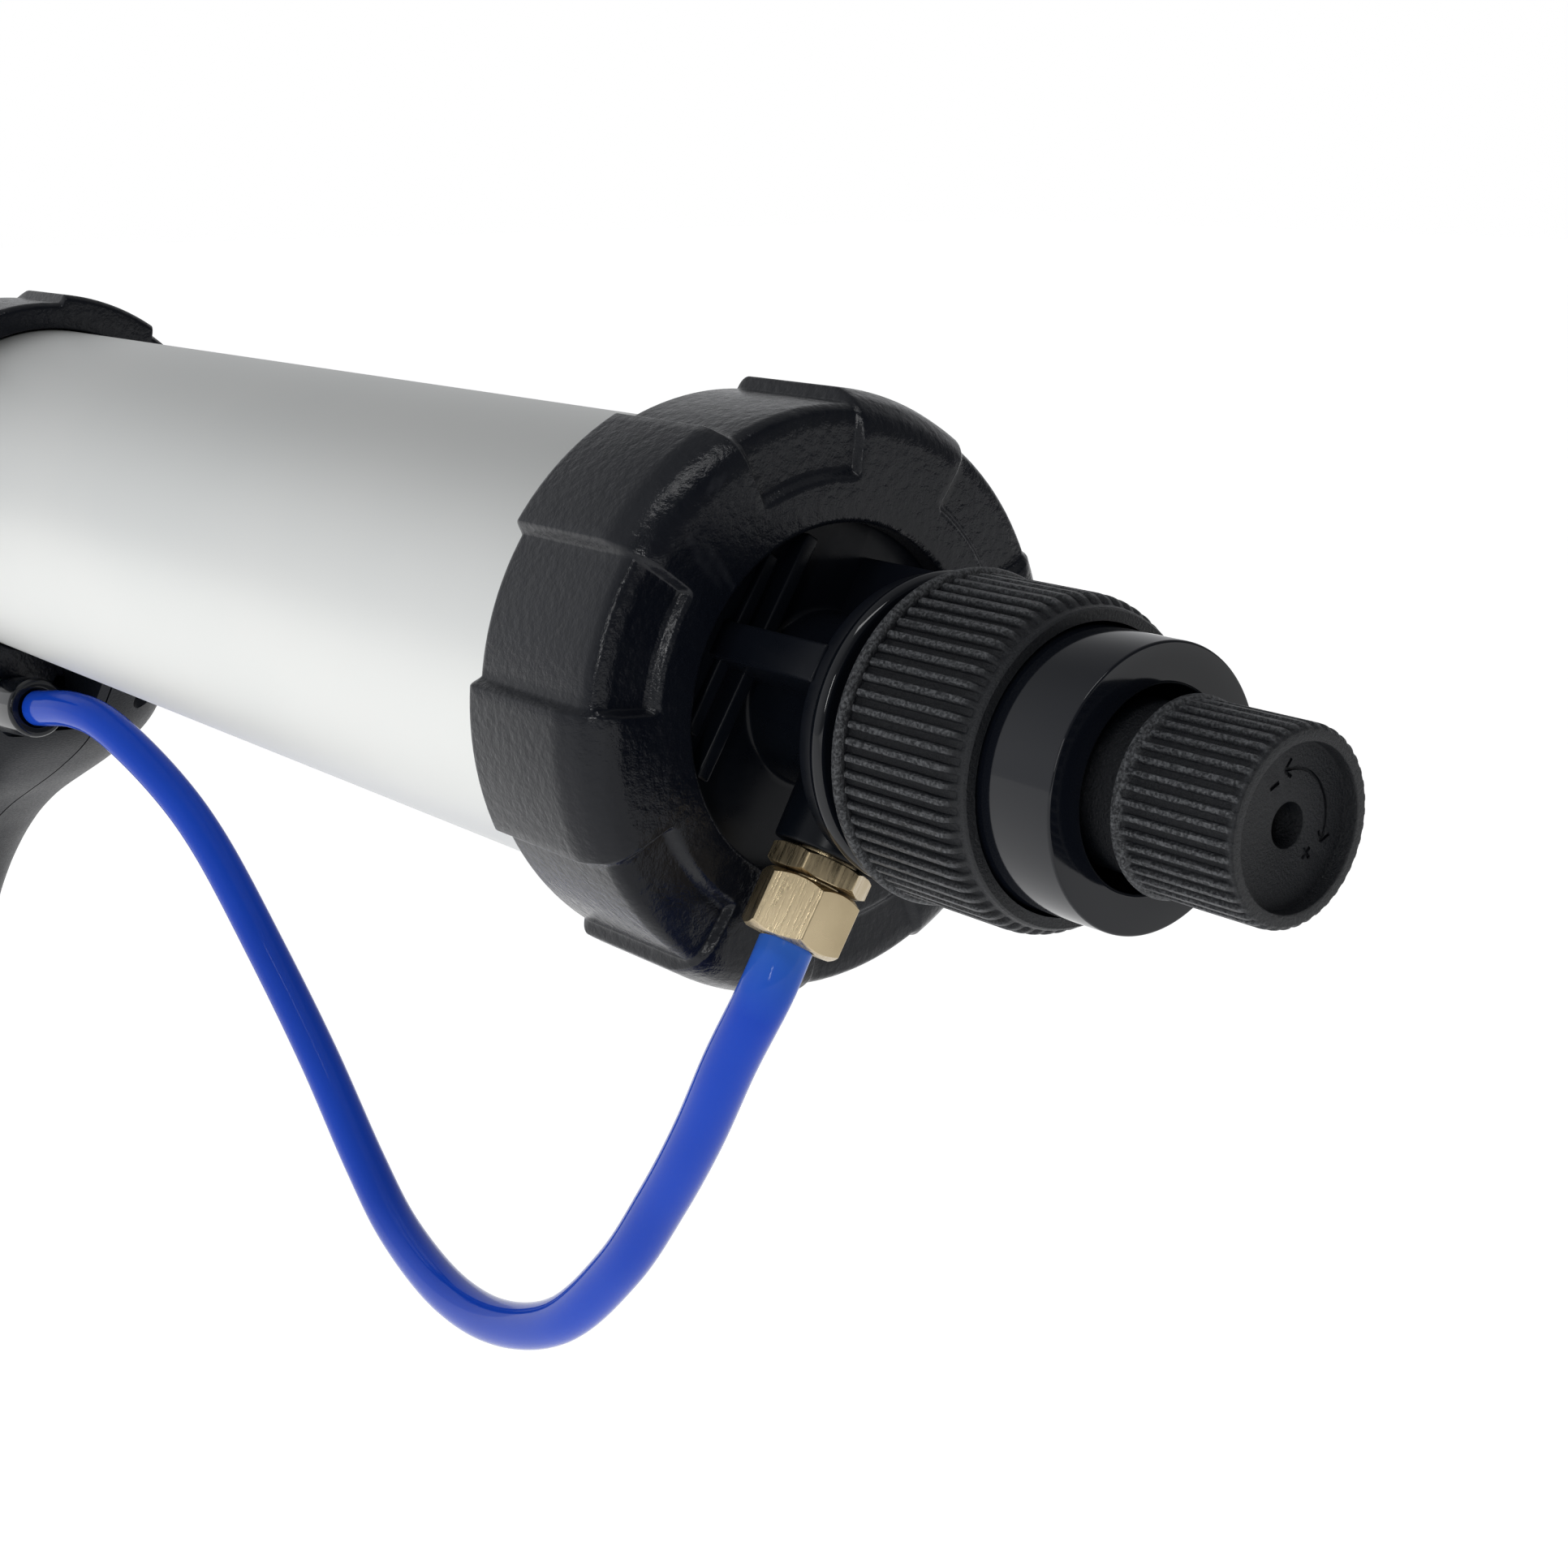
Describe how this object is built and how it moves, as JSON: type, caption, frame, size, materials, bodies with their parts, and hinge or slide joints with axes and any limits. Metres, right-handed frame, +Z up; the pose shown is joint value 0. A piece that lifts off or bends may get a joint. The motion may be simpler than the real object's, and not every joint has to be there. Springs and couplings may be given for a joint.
{
  "type": "pneumatic sealant gun",
  "caption": "Air-powered sealant gun: air cylinder with rear regulator, blue hose to a pistol handle with trigger valve, piston rod, cartridge tube and nozzle.",
  "frame": {"origin": "middle of the hand grip, where a hand holds the gun", "axes": "+X along the tubes towards the rear regulator, +Y to the gun's right, +Z up"},
  "size_m": [0.609, 0.0668, 0.2228],
  "materials": {
    "satin_aluminium": "satin anodised tube",
    "textured_black": "fine moulded texture",
    "knurled_black": "straight knurled, rough",
    "gloss_black": "polished",
    "handle_black": "fine moulded texture",
    "brass": "machined",
    "steel": "zinc plated",
    "seal_rubber": "plain",
    "blue_hose": "translucent polyurethane, smooth",
    "nozzle_orange": "smooth moulded"
  },
  "bodies": {
    "gun": {"air_cylinder": "satin_aluminium", "cartridge_tube": "satin_aluminium", "rear_ring_nut": "textured_black", "middle_ring_nut": "textured_black", "rear_bulkhead": "textured_black", "bulkhead_o_ring": "seal_rubber", "hub_rim": "gloss_black", "regulator_body": "gloss_black", "regulator_collar": "knurled_black", "regulator_bonnet": "gloss_black", "regulator_spring": "steel", "poppet_spring": "steel", "hose_adaptor": "brass", "hose_nut": "brass", "air_hose": "blue_hose", "hose_port": "gloss_black", "handle_left": "handle_black", "handle_right": "handle_black", "saddle_screw_1": "steel", "saddle_screw_2": "steel", "saddle_screw_3": "steel", "saddle_screw_4": "steel", "handle_screw_1": "steel", "handle_screw_2": "steel", "handle_screw_3": "steel", "handle_screw_4": "steel", "trigger_pin": "steel", "valve_body": "brass", "valve_seat": "seal_rubber", "valve_spring": "steel", "valve_cap": "brass", "outlet_pipe": "handle_black", "inlet_pipe": "handle_black", "inlet_bushing": "brass", "air_plug": "steel", "cylinder_head": "textured_black", "head_o_ring": "seal_rubber"},
    "front_cap": {"nozzle_plate": "textured_black", "nozzle": "nozzle_orange"},
    "front_ring": {"front_ring_nut": "textured_black"},
    "trigger_lever": {"trigger": "handle_black"},
    "stem": {"valve_stem": "steel"},
    "knob": {"regulator_knob": "knurled_black", "regulator_spindle": "steel"},
    "button": {"spring_button": "steel"},
    "sensor": {"sensing_piston": "brass", "piston_o_ring": "seal_rubber"},
    "poppet": {"regulator_poppet": "brass"},
    "pusher": {"piston": "handle_black", "front_lip_seal": "seal_rubber", "rear_lip_seal": "seal_rubber", "piston_rod": "steel", "rod_nut": "steel", "push_plate": "handle_black"}
  },
  "joints": [
    {"name": "trigger_pull", "type": "hinge", "parent": "gun", "child": "trigger_lever", "pos_m": [-0.03, 0, 0.051], "axis": [0, -1, 0], "range_deg": [0, 8], "stiffness_Nm_per_rad": 2.5, "springref_deg": -6.88, "deforming": ["valve_spring"]},
    {"name": "valve_stem_slide", "type": "slide", "parent": "gun", "child": "stem", "axis": [1, 0, 0], "range_m": [0, 0.0034], "deforming": ["valve_spring"]},
    {"name": "knob_turn", "type": "hinge", "parent": "gun", "child": "knob", "pos_m": [0.364, 0, 0.1], "axis": [-1, 0, 0], "range_deg": [-360, 720], "deforming": ["regulator_spring"]},
    {"name": "button_slide", "type": "slide", "parent": "gun", "child": "button", "axis": [-1, 0, 0], "range_m": [-0.00101, 0.00201], "deforming": ["regulator_spring"]},
    {"name": "sensor_slide", "type": "slide", "parent": "gun", "child": "sensor", "axis": [-1, 0, 0], "range_m": [0, 0.0008], "stiffness_N_per_m": 800, "springref_m": -0.0005, "deforming": ["regulator_spring", "poppet_spring"]},
    {"name": "poppet_slide", "type": "slide", "parent": "gun", "child": "poppet", "axis": [-1, 0, 0], "range_m": [0, 0.00081], "deforming": ["poppet_spring"]},
    {"name": "pusher_slide", "type": "slide", "parent": "gun", "child": "pusher", "axis": [-1, 0, 0], "range_m": [0, 0.16]},
    {"name": "front_cap_slide", "type": "slide", "parent": "gun", "child": "front_cap", "axis": [-1, 0, 0], "range_m": [0, 0.01201]},
    {"name": "front_ring_turn", "type": "hinge", "parent": "front_cap", "child": "front_ring", "pos_m": [-0.112, 0, 0.1], "axis": [-1, 0, 0], "range_deg": [0, 1080]}
  ],
  "couplings": [
    {"joint": "valve_stem_slide", "follows": "trigger_pull", "m_per_rad": 0.023},
    {"joint": "button_slide", "follows": "knob_turn", "m_per_rad": 0.00015915},
    {"joint": "poppet_slide", "follows": "sensor_slide", "ratio": 1},
    {"joint": "front_cap_slide", "follows": "front_ring_turn", "m_per_rad": 0.00063662}
  ]
}
